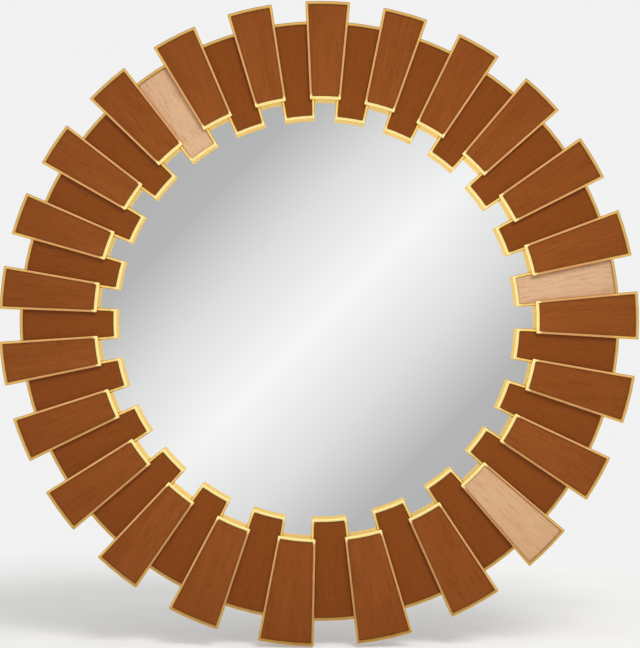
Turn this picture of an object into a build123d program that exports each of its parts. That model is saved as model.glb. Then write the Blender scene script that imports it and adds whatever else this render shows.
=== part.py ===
from build123d import *
import os
from math import asin, cos, radians, sin, sqrt

# Sunburst wall mirror. Sizes are in millimetres and angles in degrees.
# The model hangs on a wall at y = 0 and faces -Y, with +Z up. Clock angles run from the top,
# clockwise as seen from the front. Everything is drawn on the front face of the backing board,
# with x to the right, y up and z as the height towards the viewer, and then stood up.

# Layout of the rays
RAY_COUNT = 24  # front rays, and as many back rays between them
FRONT_SHARE = 0.571  # of the pitch that a front ray takes
BACK_LAP = 1.25  # angle that a back ray runs under each front ray beside it
FIRST_RAY_ANGLE = 3.0  # mean turn of the whole set of rays
# The rays are set by eye, so their spacing drifts in waves: (waves round the circle, swing, peak)
DRIFT_WAVES = ((1, 4.59, -119.2), (2, 1.44, 32.4), (3, 0.60, -27.5), (4, 0.18, 9.7), (5, 0.20, -27.1))

# Reach of the rays
FRONT_REACH = 455.0  # outer ends of the front rays, from the centre of the mirror
REACH_OVAL = 2.0  # how much further they reach up and down, and how much less to the sides
FRONT_LENGTH = 144.0
OUTER_STEP = 29.5  # from the outer ends of the front rays in to those of the back rays
INNER_STEP = 27.5  # from the inner ends of the front rays in to those of the back rays
HUB_ACROSS = 1.0  # point that the sides of all the rays aim at
HUB_UP = 3.7
OPENING_ACROSS = -3.3  # centre of the mirror opening
OPENING_UP = 6.6

# Heights above the front face of the backing board
BACK_HEIGHT = 19.0
FRONT_STEP = 5.0  # how far the front rays stand out from the back rays

# Metal frame round each ray
WALL = 1.2
LIP_THICKNESS = 1.2
SIDE_LIP = 3.9
END_LIP = 4.9
EDGE_BEVEL = 1.0
TOP_CORNER_RADIUS = 0.5

# Clearances
PANEL_FIT = 0.3
BLOCK_FIT = 0.3
GLASS_FIT = 1.0
SCREW_FIT = 0.05
RING_FIT = 0.06
STRAP_CLEARANCE = 0.3  # between the ring and its strap when the ring hangs down

# Panels of pale wood, by ray number from the top
PALE_FRONT_RAYS = (10,)
PALE_BACK_RAYS = (6, 22)

# Backing board, glass and blocks
BOARD_SETBACK = 23.0  # from the outer ends of the back rays in to the rim of the board
BOARD_THICKNESS = 15.0
BOARD_BEVEL = 2.0
GLASS_THICKNESS = 4.0
GLASS_LAP = 7.0  # how far the glass reaches under the front rays
BLOCK_SETBACK = 5.0  # from the rim of the board in to the outer ends of the blocks

# Countersunk screws that hold the rays to the board
SCREW_EDGE = 20.0  # from the glass recess, and from the rim of the board
SCREW_SHANK = 4.0
SCREW_HEAD = 7.6
SCREW_HEAD_HEIGHT = 2.4
SCREW_TIP = 3.0
SCREW_ROOM = 1.0  # empty depth of the hole beyond the tip
SCREW_COVER = 6.0  # wood left above that hole

# Cross recess in every screw head
RECESS_WIDTH = 0.9
RECESS_SPAN = 4.0
RECESS_DEPTH = 1.2

# Ring hangers on the back
HANG_SPACING = 406.4  # from ring to ring, one stud spacing
HANGER_INSET = 5.0  # from the inner circle of ray screws in to the pivots
STRAP_WIDTH = 16.0
STRAP_THICKNESS = 1.2
STRAP_END = 7.0  # from the lower screw to the end of the strap
STRAP_PITCH = 14.0  # from screw to screw
STRAP_HEAD_GAP = 4.0  # from the hanging ring to the upper screw head
RING_WIRE = 3.0
RING_END_ROOM = 1.0  # straight bar beyond each side of the strap
RING_CORNER = 3.0
RING_SIDE = 3.0  # straight stretch of each side
HANGER_SHANK = 3.5
HANGER_HEAD = 7.0
HANGER_HEAD_HEIGHT = 2.0
HANGER_SKIN = 2.0  # board left between a hanger screw's hole and the glass

# Rubber bumpers that keep the board off the wall
BUMPER_COUNT = 4
BUMPER_EDGE = 28.0  # from the rim of the board in to each bumper
BUMPER_BASE_RADIUS = 11.0
BUMPER_TIP_RADIUS = 9.0
BUMPER_HEIGHT = 8.0

# Sizes that follow from these
RAYS = range(1, RAY_COUNT + 1)
PITCH = 360 / RAY_COUNT
HUB = (HUB_ACROSS, HUB_UP)
OPENING = (OPENING_ACROSS, OPENING_UP)
FRONT_INNER = FRONT_REACH - FRONT_LENGTH
BACK_INNER = FRONT_INNER - INNER_STEP
BACK_REACH = FRONT_REACH - OUTER_STEP
FRONT_HEIGHT = BACK_HEIGHT + FRONT_STEP
BOARD_RADIUS = BACK_REACH - BOARD_SETBACK
BOARD_BACK = -BOARD_THICKNESS
GLASS_RADIUS = FRONT_INNER + GLASS_LAP
RECESS_RADIUS = GLASS_RADIUS + GLASS_FIT
SCREW_CIRCLES = (RECESS_RADIUS + SCREW_EDGE, BOARD_RADIUS - SCREW_EDGE)
SCREW_HOLE_DEPTH = BACK_HEIGHT - LIP_THICKNESS - SCREW_COVER
RING_BAR = STRAP_WIDTH + 2 * RING_END_ROOM
RING_REACH = RING_CORNER + RING_SIDE + RING_BAR / 2 + RING_CORNER + RING_WIRE / 2
HANG_HEIGHT = sqrt((SCREW_CIRCLES[0] - HANGER_INSET) ** 2 - (HANG_SPACING / 2) ** 2)
PIVOT_STANDOFF = STRAP_THICKNESS + STRAP_CLEARANCE + RING_WIRE / 2
UPPER_SCREW = RING_REACH + STRAP_HEAD_GAP + HANGER_HEAD / 2
STRAP_SCREWS = (UPPER_SCREW, UPPER_SCREW + STRAP_PITCH)
STRAP_LENGTH = UPPER_SCREW + STRAP_PITCH + STRAP_END
HANGER_HOLE_DEPTH = BOARD_THICKNESS - GLASS_THICKNESS - HANGER_SKIN

# Stands the drawing up on the wall
UPRIGHT = Plane(
    origin=(0, -BUMPER_HEIGHT - BOARD_THICKNESS, 0), x_dir=(1, 0, 0), z_dir=(0, -1, 0)
).location


def drifted(angle):
    """Clock angle at which an evenly spaced angle ends up."""
    drift = sum(swing * cos(radians(waves * (angle - peak))) for waves, swing, peak in DRIFT_WAVES)
    return angle + FIRST_RAY_ANGLE + drift


def between(start, end):
    """Middle and half width of the ray between two clock angles."""
    return (start + end) / 2, (end - start) / 2


def front_angles(number):
    """Middle and half width of a front ray, numbered from the top."""
    middle = PITCH * (number - 1)
    half = PITCH * FRONT_SHARE / 2
    return between(drifted(middle - half), drifted(middle + half))


def back_angles(number):
    """Middle and half width of the back ray that follows a front ray, laps included."""
    middle = PITCH * (number - 0.5)
    half = PITCH * (1 - FRONT_SHARE) / 2
    centre, seen = between(drifted(middle - half), drifted(middle + half))
    return centre, seen + BACK_LAP


def from_hub(radius, centre, angle):
    """Distance from the hub to a circle round another centre, along a clock angle."""
    across, up = centre[0] - HUB[0], centre[1] - HUB[1]
    return radius + across * sin(radians(angle)) + up * cos(radians(angle))


def front_span(angle):
    """Inner and outer ends of a front ray, measured from the hub."""
    oval = REACH_OVAL * cos(radians(2 * angle))
    return from_hub(FRONT_INNER, OPENING, angle), from_hub(FRONT_REACH + oval, (0, 0), angle)


def back_span(angle):
    """Inner and outer ends of a back ray, measured from the hub."""
    return from_hub(BACK_INNER, OPENING, angle), BACK_REACH


def ray_place(angle):
    """Turns a ray drawn along x to its clock angle round the hub."""
    return Pos(*HUB, 0) * Rot(0, 0, 90 - angle)


def sector(inner, outer, half, side=0.0, end=0.0):
    """Flat piece of a ring about the origin, drawn in by side and end."""
    low, high = inner + end, outer - end

    def corner(radius, way):
        turn = radians(way * half) - way * asin(side / radius)
        return radius * cos(turn), radius * sin(turn)

    return make_face(
        [
            ThreePointArc(corner(low, -1), (low, 0), corner(low, 1)),
            Line(corner(low, 1), corner(high, 1)),
            ThreePointArc(corner(high, 1), (high, 0), corner(high, -1)),
            Line(corner(high, -1), corner(low, -1)),
        ]
    )


def prism(face, low, high):
    """Solid over a flat face, between two heights."""
    return Pos(0, 0, low) * extrude(face, amount=high - low, dir=(0, 0, 1))


def turned(*points):
    """Solid turned about z from a half outline of (radius, height) points."""
    return revolve(Plane.XZ * make_face(Polyline(*points, close=True)), Axis.Z)


def drilled(diameter, depth):
    """Round hole from the origin up, with room for a screw of a given diameter."""
    return turned((0, 0), (diameter / 2 + SCREW_FIT, 0), (diameter / 2 + SCREW_FIT, depth), (0, depth))


def cross_recess(height):
    """Cross cut into a screw head that faces away from z."""
    slot = Box(RECESS_SPAN, RECESS_WIDTH, 2 * RECESS_DEPTH)
    return Pos(0, 0, height) * (slot + Rot(0, 0, 90) * slot)


def framed(span, half, low, high):
    """Open-backed metal frame with a lip round its front."""
    body = prism(sector(*span, half), low, high)
    body = fillet(body.edges().filter_by(Axis.Z), EDGE_BEVEL + TOP_CORNER_RADIUS)
    body = chamfer(body.faces().sort_by(Axis.Z)[-1].edges(), EDGE_BEVEL)
    body -= prism(sector(*span, half, WALL, WALL), low, high - LIP_THICKNESS)
    return body - prism(sector(*span, half, SIDE_LIP, END_LIP), low, high)


def front_frame(number):
    """Raised tray, with an apron at its inner end that comes down to the glass."""
    angle, half = front_angles(number)
    inner, outer = front_span(angle)
    tray = framed((inner, outer), half, BACK_HEIGHT, FRONT_HEIGHT)
    apron = sector(inner, inner + WALL, half - BACK_LAP, side=BLOCK_FIT)
    return ray_place(angle) * (tray + prism(apron, 0, FRONT_HEIGHT - LIP_THICKNESS))


def back_frame(number):
    """Deep frame that stands on the board and the glass."""
    angle, half = back_angles(number)
    return ray_place(angle) * framed(back_span(angle), half, 0, BACK_HEIGHT)


def panel(span, half, low, high):
    """Wooden panel that fills a frame up to the underside of its lip."""
    inset = WALL + PANEL_FIT
    return prism(sector(*span, half, inset, inset), low, high - LIP_THICKNESS)


def ray_screw_holes():
    """Holes for the two screws of a ray drawn along x."""
    return [Pos(radius, 0, 0) * drilled(SCREW_SHANK, SCREW_HOLE_DEPTH) for radius in SCREW_CIRCLES]


def front_panel(number):
    """Thin wooden panel in a front ray."""
    angle, half = front_angles(number)
    return ray_place(angle) * panel(front_span(angle), half, BACK_HEIGHT, FRONT_HEIGHT)


def back_panel(number):
    """Thick wooden panel in a back ray, screwed on from behind."""
    angle, half = back_angles(number)
    return ray_place(angle) * (panel(back_span(angle), half, 0, BACK_HEIGHT) - ray_screw_holes())


def ray_block(number):
    """Wooden block between two back rays, which carries a front ray."""
    angle, half = front_angles(number)
    inner = front_span(angle)[0] + WALL + PANEL_FIT
    face = sector(inner, BOARD_RADIUS - BLOCK_SETBACK, half - BACK_LAP, side=BLOCK_FIT)
    return ray_place(angle) * (prism(face, 0, BACK_HEIGHT) - ray_screw_holes())


def ray_screw_places():
    """Where each ray screw goes through the front face of the board."""
    angles = [front_angles(number)[0] for number in RAYS] + [back_angles(number)[0] for number in RAYS]
    return [ray_place(angle) * Pos(radius, 0, 0) for angle in angles for radius in SCREW_CIRCLES]


def ray_screw():
    """Countersunk screw that comes in from the back of the board."""
    tip = SCREW_HOLE_DEPTH - SCREW_ROOM
    body = turned(
        (0, BOARD_BACK),
        (SCREW_HEAD / 2, BOARD_BACK),
        (SCREW_SHANK / 2, BOARD_BACK + SCREW_HEAD_HEIGHT),
        (SCREW_SHANK / 2, tip - SCREW_TIP),
        (0, tip),
    )
    return body - cross_recess(BOARD_BACK)


def ray_screw_bore():
    """Countersunk hole through the board for a ray screw."""
    return turned(
        (0, BOARD_BACK),
        (SCREW_HEAD / 2 + SCREW_FIT, BOARD_BACK),
        (SCREW_SHANK / 2 + SCREW_FIT, BOARD_BACK + SCREW_HEAD_HEIGHT),
        (SCREW_SHANK / 2 + SCREW_FIT, 0),
        (0, 0),
    )


def hanger_places():
    """Back face of the board under each ring's pivot, left one first."""
    half = HANG_SPACING / 2
    return [Pos(side * half, HANG_HEIGHT, BOARD_BACK) for side in (-1, 1)]


def hanger_screw_places():
    """Where each hanger screw goes into the back of the board."""
    return [place * Pos(0, -drop, 0) for place in hanger_places() for drop in STRAP_SCREWS]


def backing_board():
    """Round board with a recess for the glass and a hole for every screw."""
    board = Pos(0, 0, BOARD_BACK / 2) * Cylinder(BOARD_RADIUS, BOARD_THICKNESS)
    board = chamfer(board.faces().sort_by(Axis.Z)[0].edges(), BOARD_BEVEL)
    recess = Pos(*OPENING, -GLASS_THICKNESS / 2) * Cylinder(RECESS_RADIUS, GLASS_THICKNESS)
    bore = ray_screw_bore()
    hole = drilled(HANGER_SHANK, HANGER_HOLE_DEPTH)
    holes = [place * bore for place in ray_screw_places()]
    holes += [place * hole for place in hanger_screw_places()]
    return board - recess - holes


def mirror_glass():
    """Round sheet of silvered glass, flush with the front of the board."""
    return Pos(*OPENING, -GLASS_THICKNESS / 2) * Cylinder(GLASS_RADIUS, GLASS_THICKNESS)


def hanger_strap():
    """Metal strap on the back of the board, folded round the bar of its ring."""
    bore = RING_WIRE / 2 + RING_FIT
    pivot = Pos(0, 0, -PIVOT_STANDOFF) * Rot(0, 90, 0)
    plate = Pos(0, 0, -STRAP_THICKNESS / 2) * Box(
        STRAP_WIDTH, STRAP_LENGTH, STRAP_THICKNESS, align=(Align.CENTER, Align.MAX, Align.CENTER)
    )
    plate = fillet(plate.edges().filter_by(Axis.Z).group_by(Axis.Y)[0], STRAP_WIDTH / 4)
    hole = Pos(0, 0, -STRAP_THICKNESS) * drilled(HANGER_SHANK, STRAP_THICKNESS)
    loop = pivot * Cylinder(bore + STRAP_THICKNESS, STRAP_WIDTH)
    strap = plate + loop - pivot * Cylinder(bore, STRAP_WIDTH)
    return strap - [Pos(0, -drop, 0) * hole for drop in STRAP_SCREWS]


def hanger_ring():
    """Ring of round wire with a straight bar, hanging down from its pivot at the origin."""
    bar, half = RING_BAR / 2, RING_BAR / 2 + RING_CORNER
    low = RING_CORNER + RING_SIDE
    inset = RING_CORNER * (1 - sin(radians(45)))
    path = Wire(
        [
            Line((-bar, 0), (bar, 0)),
            ThreePointArc((bar, 0), (half - inset, -inset), (half, -RING_CORNER)),
            Line((half, -RING_CORNER), (half, -low)),
            ThreePointArc((half, -low), (0, -low - half), (-half, -low)),
            Line((-half, -low), (-half, -RING_CORNER)),
            ThreePointArc((-half, -RING_CORNER), (-half + inset, -inset), (-bar, 0)),
        ]
    )
    return sweep(Plane.YZ * Circle(RING_WIRE / 2), path)


def hanger_screw():
    """Pan-head screw, with the underside of its head on the strap."""
    head, shank = HANGER_HEAD / 2, HANGER_SHANK / 2
    under, top = -STRAP_THICKNESS, -STRAP_THICKNESS - HANGER_HEAD_HEIGHT
    tip = HANGER_HOLE_DEPTH - SCREW_ROOM
    body = turned(
        (0, top),
        (0.6 * head, top),
        (head, under - 0.4 * HANGER_HEAD_HEIGHT),
        (head, under),
        (shank, under),
        (shank, tip - SCREW_TIP),
        (0, tip),
    )
    return body - cross_recess(top)


def wall_bumpers():
    """Tapered rubber bumpers on the back of the board."""
    bumper = Cone(BUMPER_TIP_RADIUS, BUMPER_BASE_RADIUS, BUMPER_HEIGHT)
    seat = Pos(BOARD_RADIUS - BUMPER_EDGE, 0, BOARD_BACK - BUMPER_HEIGHT / 2)
    turn = 360 / BUMPER_COUNT
    return [Rot(0, 0, turn * (step + 0.5)) * seat * bumper for step in range(BUMPER_COUNT)]


def write(name, *solids):
    """Stands the solids up and writes them as one node."""
    placed = [UPRIGHT * solid for solid in solids]
    node = placed[0] if len(placed) == 1 else Compound(placed)
    node.label = name
    export_step(node, f"parts/{name}.step")


os.makedirs("parts", exist_ok=True)

for ray in RAYS:
    write(f"front_frame_{ray:02d}", front_frame(ray))
    write(f"back_frame_{ray:02d}", back_frame(ray))

pale = [front_panel(ray) for ray in RAYS if ray in PALE_FRONT_RAYS]
pale += [back_panel(ray) for ray in RAYS if ray in PALE_BACK_RAYS]
write("pale_panels", *pale)
write("front_panels", *[front_panel(ray) for ray in RAYS if ray not in PALE_FRONT_RAYS])
write("back_panels", *[back_panel(ray) for ray in RAYS if ray not in PALE_BACK_RAYS])
write("ray_blocks", *[ray_block(ray) for ray in RAYS])

write("backing_board", backing_board())
write("mirror_glass", mirror_glass())
screw = ray_screw()
write("ray_screws", *[place * screw for place in ray_screw_places()])

pivot = Pos(0, 0, -PIVOT_STANDOFF)
left_hanger, right_hanger = hanger_places()
write("hanger_straps", *[place * hanger_strap() for place in hanger_places()])
write("hanger_screws", *[place * hanger_screw() for place in hanger_screw_places()])
write("hanger_ring_left", left_hanger * pivot * hanger_ring())
write("hanger_ring_right", right_hanger * pivot * hanger_ring())
write("wall_bumpers", *wall_bumpers())
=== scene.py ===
from math import atan2, cos, hypot, pi, radians, sin

import bmesh
import bpy
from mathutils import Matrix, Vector


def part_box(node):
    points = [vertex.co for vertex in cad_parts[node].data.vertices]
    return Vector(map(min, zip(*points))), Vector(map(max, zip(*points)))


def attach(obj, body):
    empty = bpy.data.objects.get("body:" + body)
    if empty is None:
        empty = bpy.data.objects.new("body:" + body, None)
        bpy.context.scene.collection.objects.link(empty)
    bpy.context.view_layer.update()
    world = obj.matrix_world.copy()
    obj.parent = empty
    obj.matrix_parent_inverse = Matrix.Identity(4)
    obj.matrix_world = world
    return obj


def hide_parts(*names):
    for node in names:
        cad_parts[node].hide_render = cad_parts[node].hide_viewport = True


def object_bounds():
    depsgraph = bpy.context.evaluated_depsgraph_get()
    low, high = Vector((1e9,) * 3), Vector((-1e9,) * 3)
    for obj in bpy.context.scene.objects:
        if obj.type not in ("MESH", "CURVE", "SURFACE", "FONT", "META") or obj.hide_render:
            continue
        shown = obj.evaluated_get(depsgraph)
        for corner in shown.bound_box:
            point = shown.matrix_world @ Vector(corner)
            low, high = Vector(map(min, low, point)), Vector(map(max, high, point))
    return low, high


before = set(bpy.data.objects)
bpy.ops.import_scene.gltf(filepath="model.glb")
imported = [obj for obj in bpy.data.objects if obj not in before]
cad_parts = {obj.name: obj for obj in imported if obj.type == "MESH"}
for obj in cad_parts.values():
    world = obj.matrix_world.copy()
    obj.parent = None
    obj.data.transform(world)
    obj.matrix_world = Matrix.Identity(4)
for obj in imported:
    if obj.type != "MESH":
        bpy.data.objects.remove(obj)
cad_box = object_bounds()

# Sunburst mirror: 24 long and 24 short wooden rays in brass frames round a mirror.
# Everything is in metres. The mirror faces -Y, and rays are numbered clockwise from the top.

MM = 0.001
RAY_COUNT = 24
PALE_FRONT_RAYS = (10,)
PALE_BACK_RAYS = (6, 22)

# Brass frames
HUB_ACROSS = 1.0 * MM  # point that the sides of all the rays aim at
HUB_UP = 3.7 * MM
SIDE_LIP = 3.9 * MM
END_LIP = 4.9 * MM
LIP_THICKNESS = 1.2 * MM
WALL = 1.2 * MM
EDGE_RADIUS = 1.9 * MM  # rounding of the outer edge that faces the viewer
SHEET_RADIUS = 0.35 * MM  # rounding of every other edge of the sheet
CORNER_RADIUS = 1.6 * MM
RAY_WIDTH = 52 * MM  # typical width and length, which set the shape of the corners
RAY_LENGTH = 143 * MM
EDGE_WEAR_AND_SHEEN = (0.5 * MM, 1.7 * MM)  # distances from the edge over which its paler band, rubbed wear and painted highlight, fades
EDGE_SHADE = (0.9 * MM, 0.3 * MM)  # painted shade: a dark line along the wood, between these distances from the lip's end
APRON_LAP = radians(1.25)  # how much narrower a front ray's apron is on each side

# Meshes
CREASE = radians(30)  # bends up to this are shaded smooth
DOUBLES = 0.002 * MM
CAD_CREASE = radians(35)
CAD_DOUBLES = 0.003 * MM
CAD_FLAT = radians(0.6)  # faces that bend less than this become one

# Wooden panels
PANEL_FIT = 0.3 * MM
GRAIN_SHIFT = 0.7  # from one ray's grain to the next one's in the pattern, so that no two match
OWN_TONE = 0.45  # how much a panel's own tone counts against the figure of its grain
BACK_STAIN = 0.8  # how much of the deeper stain the back rays take
OUTER_STAIN = 0.26  # extra stain at the outer ends
STAIN_START, STAIN_END = 0.33, 0.455  # distances from the hub between which it deepens

# Mirror glass
RIM_START = 0.2  # distance from the middle at which the glass starts to look deeper
WAVE = 0.25  # length of the waves in the glass

# Fastenings on the back
SCREW_HEAD = 7.6 * MM
SCREW_HEAD_HEIGHT = 2.4 * MM
SCREW_SHANK = 4.0 * MM
SCREW_LENGTH = 20.0 * MM  # below the head
SCREW_CIRCLES = (339.5 * MM, 382.5 * MM)  # about the hub
RECESS_SPAN = 4.2 * MM
RECESS_WIDTH = 1.0 * MM
RECESS_DEPTH = 1.4 * MM

# Camera: looks straight at the mirror, and one pixel is this wide at the front of the rays
PHOTO_WIDTH, PHOTO_HEIGHT = 640, 648
PIXEL = 1.4148 * MM
CENTRE_PIXEL = (319.0, 323.7)  # of the model's origin
CAMERA_DISTANCE = 2.7
SENSOR = 36.0

# Floor
FLOOR_GAP = 1.5 * MM  # between the lowest ray and the floor
FLOOR_RADIUS = 1.4
FLOOR_FADE = 0.6  # radius from which the floor fades into the background

# Light that metal and glass show, as (sine of the angle off the band, level) within 8 degrees of
# straight ahead, and as (share of 180 degrees from straight ahead, level) outside that
BAND_LIGHT = ((0.0, 1.09), (0.0445, 0.875), (0.0739, 0.65), (0.087, 0.56), (0.104, 0.55), (1.0, 0.55))
ROOM_LIGHT = (
    (0.0, 1.0),
    (0.06, 1.45),
    (0.2, 1.45),
    (0.3, 0.9),
    (0.42, 0.85),
    (0.5, 0.75),
    (0.6, 0.4),
    (1.0, 0.6),
)
BAND_SLANT = (0.7071, 0.0, -0.7071)  # square to the band and to the way that the mirror faces
BAND_END = (8 / 180, 12 / 180)  # share of 180 degrees over which the band gives way to the room
DIFFUSE_LEVEL = 0.52
BACKGROUND_COLOUR = "#fdfdfd"
BACKGROUND_LEVEL = 0.9
SOFTBOXES = (
    ("key", (0.9, -2.4, 2.3), 1.6, 62.0),
    ("fill", (-1.6, -2.2, 0.6), 1.8, 7.0),
    ("back", (0.6, 2.4, 1.8), 1.8, 40.0),
)

BOARD_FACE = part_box("backing_board")[0].y
BOARD_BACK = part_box("backing_board")[1].y
HUB = Vector((HUB_ACROSS, BOARD_FACE, HUB_UP))


def linear(code):
    """Linear colour of an sRGB hex code."""
    parts = [int(code[i : i + 2], 16) / 255 for i in (1, 3, 5)]
    return (*[p / 12.92 if p <= 0.04045 else ((p + 0.055) / 1.055) ** 2.4 for p in parts], 1.0)


def add(tree, kind, inputs=None, items=0, **settings):
    """Adds a node, sets it up, and fills its inputs with values, sockets or nodes' first outputs."""
    node = tree.nodes.new(kind)
    for name, value in settings.items():
        setattr(node, name, value)
    for _ in range(items):
        node.index_switch_items.new()
    for name, value in (inputs or {}).items():
        source = value.outputs[0] if isinstance(value, bpy.types.Node) else value
        if isinstance(source, bpy.types.NodeSocket):
            tree.links.new(source, node.inputs[name])
        else:
            node.inputs[name].default_value = source
    return node


# Materials


def finish(name, **values):
    """New material with the same value all over for each named socket of its shader."""
    material = bpy.data.materials.new(name)
    material.use_nodes = True
    tree = material.node_tree
    shader = tree.nodes["Principled BSDF"]
    for socket, value in values.items():
        shader.inputs[socket.replace("_", " ").title().replace("Ior", "IOR")].default_value = value
    return material, tree, shader


def polished_brass():
    """Polished brass plating on steel sheet: warm gold with soft-edged reflections and faint cloudy
    polishing marks. Its colour also holds painted reflections: pale bright yellow at the inner ends
    round the opening, plain gold at the outer ends, brighter yellow on the back rays' sides, and redder
    on the front rays' sides, from the wood beside them."""
    material, tree, shader = finish(
        "polished_brass_plating", metallic=1.0, specular_tint=linear("#ffdf9a")
    )
    place = add(tree, "ShaderNodeTexCoord").outputs["Object"]
    # Along runs from -1 at a ray's inner end to 1 at its outer end
    along = add(tree, "ShaderNodeAttribute", attribute_name="along").outputs["Fac"]
    # Painted reflections by place: pale yellow at the inner ends, plain gold at the outer ends, brighter
    # yellow on the back rays' sides, redder on the front rays' sides beside the wood
    outer = add(tree, "ShaderNodeMapRange", {"Value": along, "From Min": 0.975, "From Max": 0.995})
    inner = add(tree, "ShaderNodeMapRange", {"Value": along, "From Min": -0.92, "From Max": -0.95})
    wood_reflection_share = add(tree, "ShaderNodeMapRange", {"Value": along, "From Min": 0.6, "From Max": 0.5})
    back = add(tree, "ShaderNodeAttribute", attribute_name="back").outputs["Fac"]
    side = add(
        tree, "ShaderNodeMix", {0: wood_reflection_share, 6: linear("#dcae5c"), 7: linear("#d49a5f")}, data_type="RGBA"
    )
    sides = add(
        tree, "ShaderNodeMix", {0: back, 6: side.outputs[2], 7: linear("#f8d070")}, data_type="RGBA"
    )
    ends = add(
        tree, "ShaderNodeMix", {0: outer, 6: sides.outputs[2], 7: linear("#cb9f54")}, data_type="RGBA"
    )
    plating_and_reflections = add(
        tree, "ShaderNodeMix", {0: inner, 6: ends.outputs[2], 7: linear("#ffe698")}, data_type="RGBA"
    )

    cloud = add(tree, "ShaderNodeTexNoise", {"Vector": place, "Scale": 1 / (22 * MM), "Detail": 3.0})
    # Cloudy polishing haze, cleared towards the inner ends as painted light that keeps them bright
    dull = add(tree, "ShaderNodeMapRange", {"Value": inner, "To Min": 0.22, "To Max": 0.03})
    haze = add(
        tree, "ShaderNodeMapRange", {"Value": cloud, "From Min": 0.3, "From Max": 0.7, "To Max": dull}
    )
    clouded = add(
        tree, "ShaderNodeMix", {0: haze, 6: plating_and_reflections.outputs[2], 7: linear("#a5733a")}, data_type="RGBA"
    )
    # Paler outer edge, mottled by specks: partly rubbed wear, partly a painted highlight along the
    # rounding
    specks = add(tree, "ShaderNodeTexNoise", {"Vector": place, "Scale": 1 / (7 * MM), "Detail": 4.0})
    edge = add(tree, "ShaderNodeAttribute", attribute_name="rubbed_and_sheen").outputs["Fac"]
    rubbed_and_sheen = add(tree, "ShaderNodeMath", {0: edge, 1: specks}, operation="MULTIPLY")
    worn = add(
        tree, "ShaderNodeMix", {0: rubbed_and_sheen, 6: clouded.outputs[2], 7: linear("#f3d08c")}, data_type="RGBA"
    )
    # Painted shade: the lip darkens along its edge against the recessed wood, as a shadow line
    from_edge = add(tree, "ShaderNodeAttribute", attribute_name="from_edge").outputs["Fac"]
    lip_edge_shade = add(
        tree,
        "ShaderNodeMapRange",
        {
            "Value": from_edge,
            "From Min": SIDE_LIP - EDGE_SHADE[0],
            "From Max": SIDE_LIP - EDGE_SHADE[1],
            "To Max": 0.6,
        },
    )
    colour = add(
        tree, "ShaderNodeMix", {0: lip_edge_shade, 6: worn.outputs[2], 7: linear("#6b4420")}, data_type="RGBA"
    )
    tree.links.new(colour.outputs[2], shader.inputs["Base Color"])
    smear = add(tree, "ShaderNodeTexNoise", {"Vector": place, "Scale": 1 / (5 * MM), "Detail": 5.0})
    gloss = add(tree, "ShaderNodeMapRange", {"Value": smear, "To Min": 0.16, "To Max": 0.3})
    tree.links.new(gloss.outputs[0], shader.inputs["Roughness"])
    # Polishing lines are far finer than a pixel, so they are drawn 1.5 mm apart
    lines = add(tree, "ShaderNodeTexNoise", {"Vector": place, "Scale": 1 / (1.5 * MM), "Detail": 1.0})
    relief = add(tree, "ShaderNodeBump", {"Height": lines, "Distance": 0.004 * MM})
    tree.links.new(relief.outputs[0], shader.inputs["Normal"])
    return material


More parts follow.
